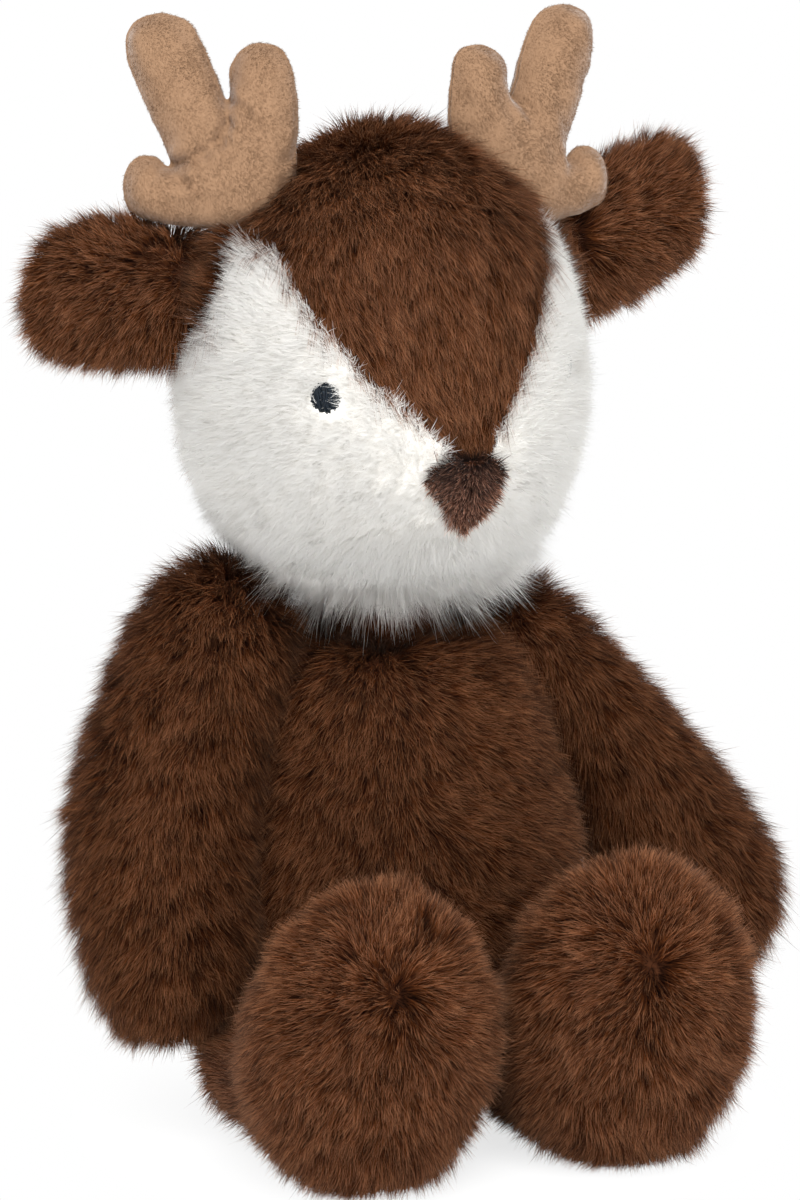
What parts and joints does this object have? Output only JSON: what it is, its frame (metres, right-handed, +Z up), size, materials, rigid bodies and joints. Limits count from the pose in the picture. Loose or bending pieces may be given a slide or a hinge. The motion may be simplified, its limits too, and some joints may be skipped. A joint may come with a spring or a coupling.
{
  "type": "plush deer",
  "caption": "Seated plush deer with a head that turns and nods on a stuffed neck, soft ears and antlers, and sewn-on arms, legs and tail that swing.",
  "frame": {"origin": "on the floor, in the middle of the seat's flat, straight below the neck", "axes": "+Z up, the deer faces -Y, its own left is +X"},
  "size_m": [0.1918, 0.1601, 0.2796],
  "materials": {
    "brown_plush": "long-pile plush",
    "white_plush": "long-pile plush",
    "tan_velour": "short-nap velour",
    "nose_pile": "short pile",
    "eye_thread": "satin embroidery thread",
    "stuffing": "polyester fibre",
    "pellet_cloth": "plain weave"
  },
  "bodies": {
    "torso": {"chest_panel": "brown_plush", "back_panel": "brown_plush", "torso_stuffing": "stuffing", "pellet_bag": "pellet_cloth"},
    "neck": {"neck_plug": "stuffing"},
    "head": {"crown_panel": "brown_plush", "cheek_panel_left": "white_plush", "cheek_panel_right": "white_plush", "head_back_panel": "brown_plush", "head_stuffing": "stuffing", "nose_patch": "nose_pile", "eye_left": "eye_thread", "eye_right": "eye_thread"},
    "arm_left": {"arm_left_outer_panel": "brown_plush", "arm_left_inner_panel": "brown_plush", "arm_left_stuffing": "stuffing"},
    "leg_left": {"leg_left_outer_panel": "brown_plush", "leg_left_inner_panel": "brown_plush", "leg_left_stuffing": "stuffing"},
    "ear_left": {"ear_left_front_panel": "brown_plush", "ear_left_back_panel": "brown_plush"},
    "antler_left": {"antler_left_front_panel": "tan_velour", "antler_left_back_panel": "tan_velour", "antler_left_stuffing": "stuffing"},
    "arm_right": {"arm_right_outer_panel": "brown_plush", "arm_right_inner_panel": "brown_plush", "arm_right_stuffing": "stuffing"},
    "leg_right": {"leg_right_outer_panel": "brown_plush", "leg_right_inner_panel": "brown_plush", "leg_right_stuffing": "stuffing"},
    "ear_right": {"ear_right_front_panel": "brown_plush", "ear_right_back_panel": "brown_plush"},
    "antler_right": {"antler_right_front_panel": "tan_velour", "antler_right_back_panel": "tan_velour", "antler_right_stuffing": "stuffing"},
    "tail": {"tail_top_panel": "brown_plush", "tail_under_panel": "white_plush"}
  },
  "joints": [
    {"name": "head_turn", "type": "hinge", "parent": "torso", "child": "neck", "pos_m": [0, 0, 0.122], "axis": [0, 0, 1], "range_deg": [-25, 25], "stiffness_Nm_per_rad": 0.3},
    {"name": "head_nod", "type": "hinge", "parent": "neck", "child": "head", "pos_m": [0, 0, 0.122], "axis": [1, 0, 0], "range_deg": [-10, 12], "stiffness_Nm_per_rad": 0.8},
    {"name": "arm_left_lift", "type": "hinge", "parent": "torso", "child": "arm_left", "pos_m": [0.04, 0, 0.113], "axis": [0, 1, 0], "range_deg": [-70, 8], "stiffness_Nm_per_rad": 0.03},
    {"name": "arm_right_lift", "type": "hinge", "parent": "torso", "child": "arm_right", "pos_m": [-0.045, 0, 0.122], "axis": [0, 1, 0], "range_deg": [0, 70], "stiffness_Nm_per_rad": 0.03},
    {"name": "leg_left_swing", "type": "hinge", "parent": "torso", "child": "leg_left", "pos_m": [0.0295, -0.024, 0.0235], "axis": [1, 0, 0], "range_deg": [-8, 75], "stiffness_Nm_per_rad": 0.05},
    {"name": "leg_right_swing", "type": "hinge", "parent": "torso", "child": "leg_right", "pos_m": [-0.0295, -0.024, 0.0235], "axis": [1, 0, 0], "range_deg": [-8, 75], "stiffness_Nm_per_rad": 0.05},
    {"name": "ear_left_flap", "type": "hinge", "parent": "head", "child": "ear_left", "pos_m": [0.044, 0.006, 0.2075], "axis": [0, 0, 1], "range_deg": [-18, 18], "stiffness_Nm_per_rad": 0.02},
    {"name": "ear_right_flap", "type": "hinge", "parent": "head", "child": "ear_right", "pos_m": [-0.044, 0.006, 0.2075], "axis": [0, 0, 1], "range_deg": [-18, 18], "stiffness_Nm_per_rad": 0.02},
    {"name": "antler_left_bend", "type": "hinge", "parent": "head", "child": "antler_left", "pos_m": [0.04, 0, 0.2215], "axis": [1, 0, 0], "range_deg": [-6, 6], "stiffness_Nm_per_rad": 0.05},
    {"name": "antler_right_bend", "type": "hinge", "parent": "head", "child": "antler_right", "pos_m": [-0.04, 0, 0.227], "axis": [1, 0, 0], "range_deg": [-6, 6], "stiffness_Nm_per_rad": 0.05},
    {"name": "tail_wag", "type": "hinge", "parent": "torso", "child": "tail", "pos_m": [0, 0.033, 0.036], "axis": [1, 0, 0], "range_deg": [-12, 12], "stiffness_Nm_per_rad": 0.01}
  ]
}
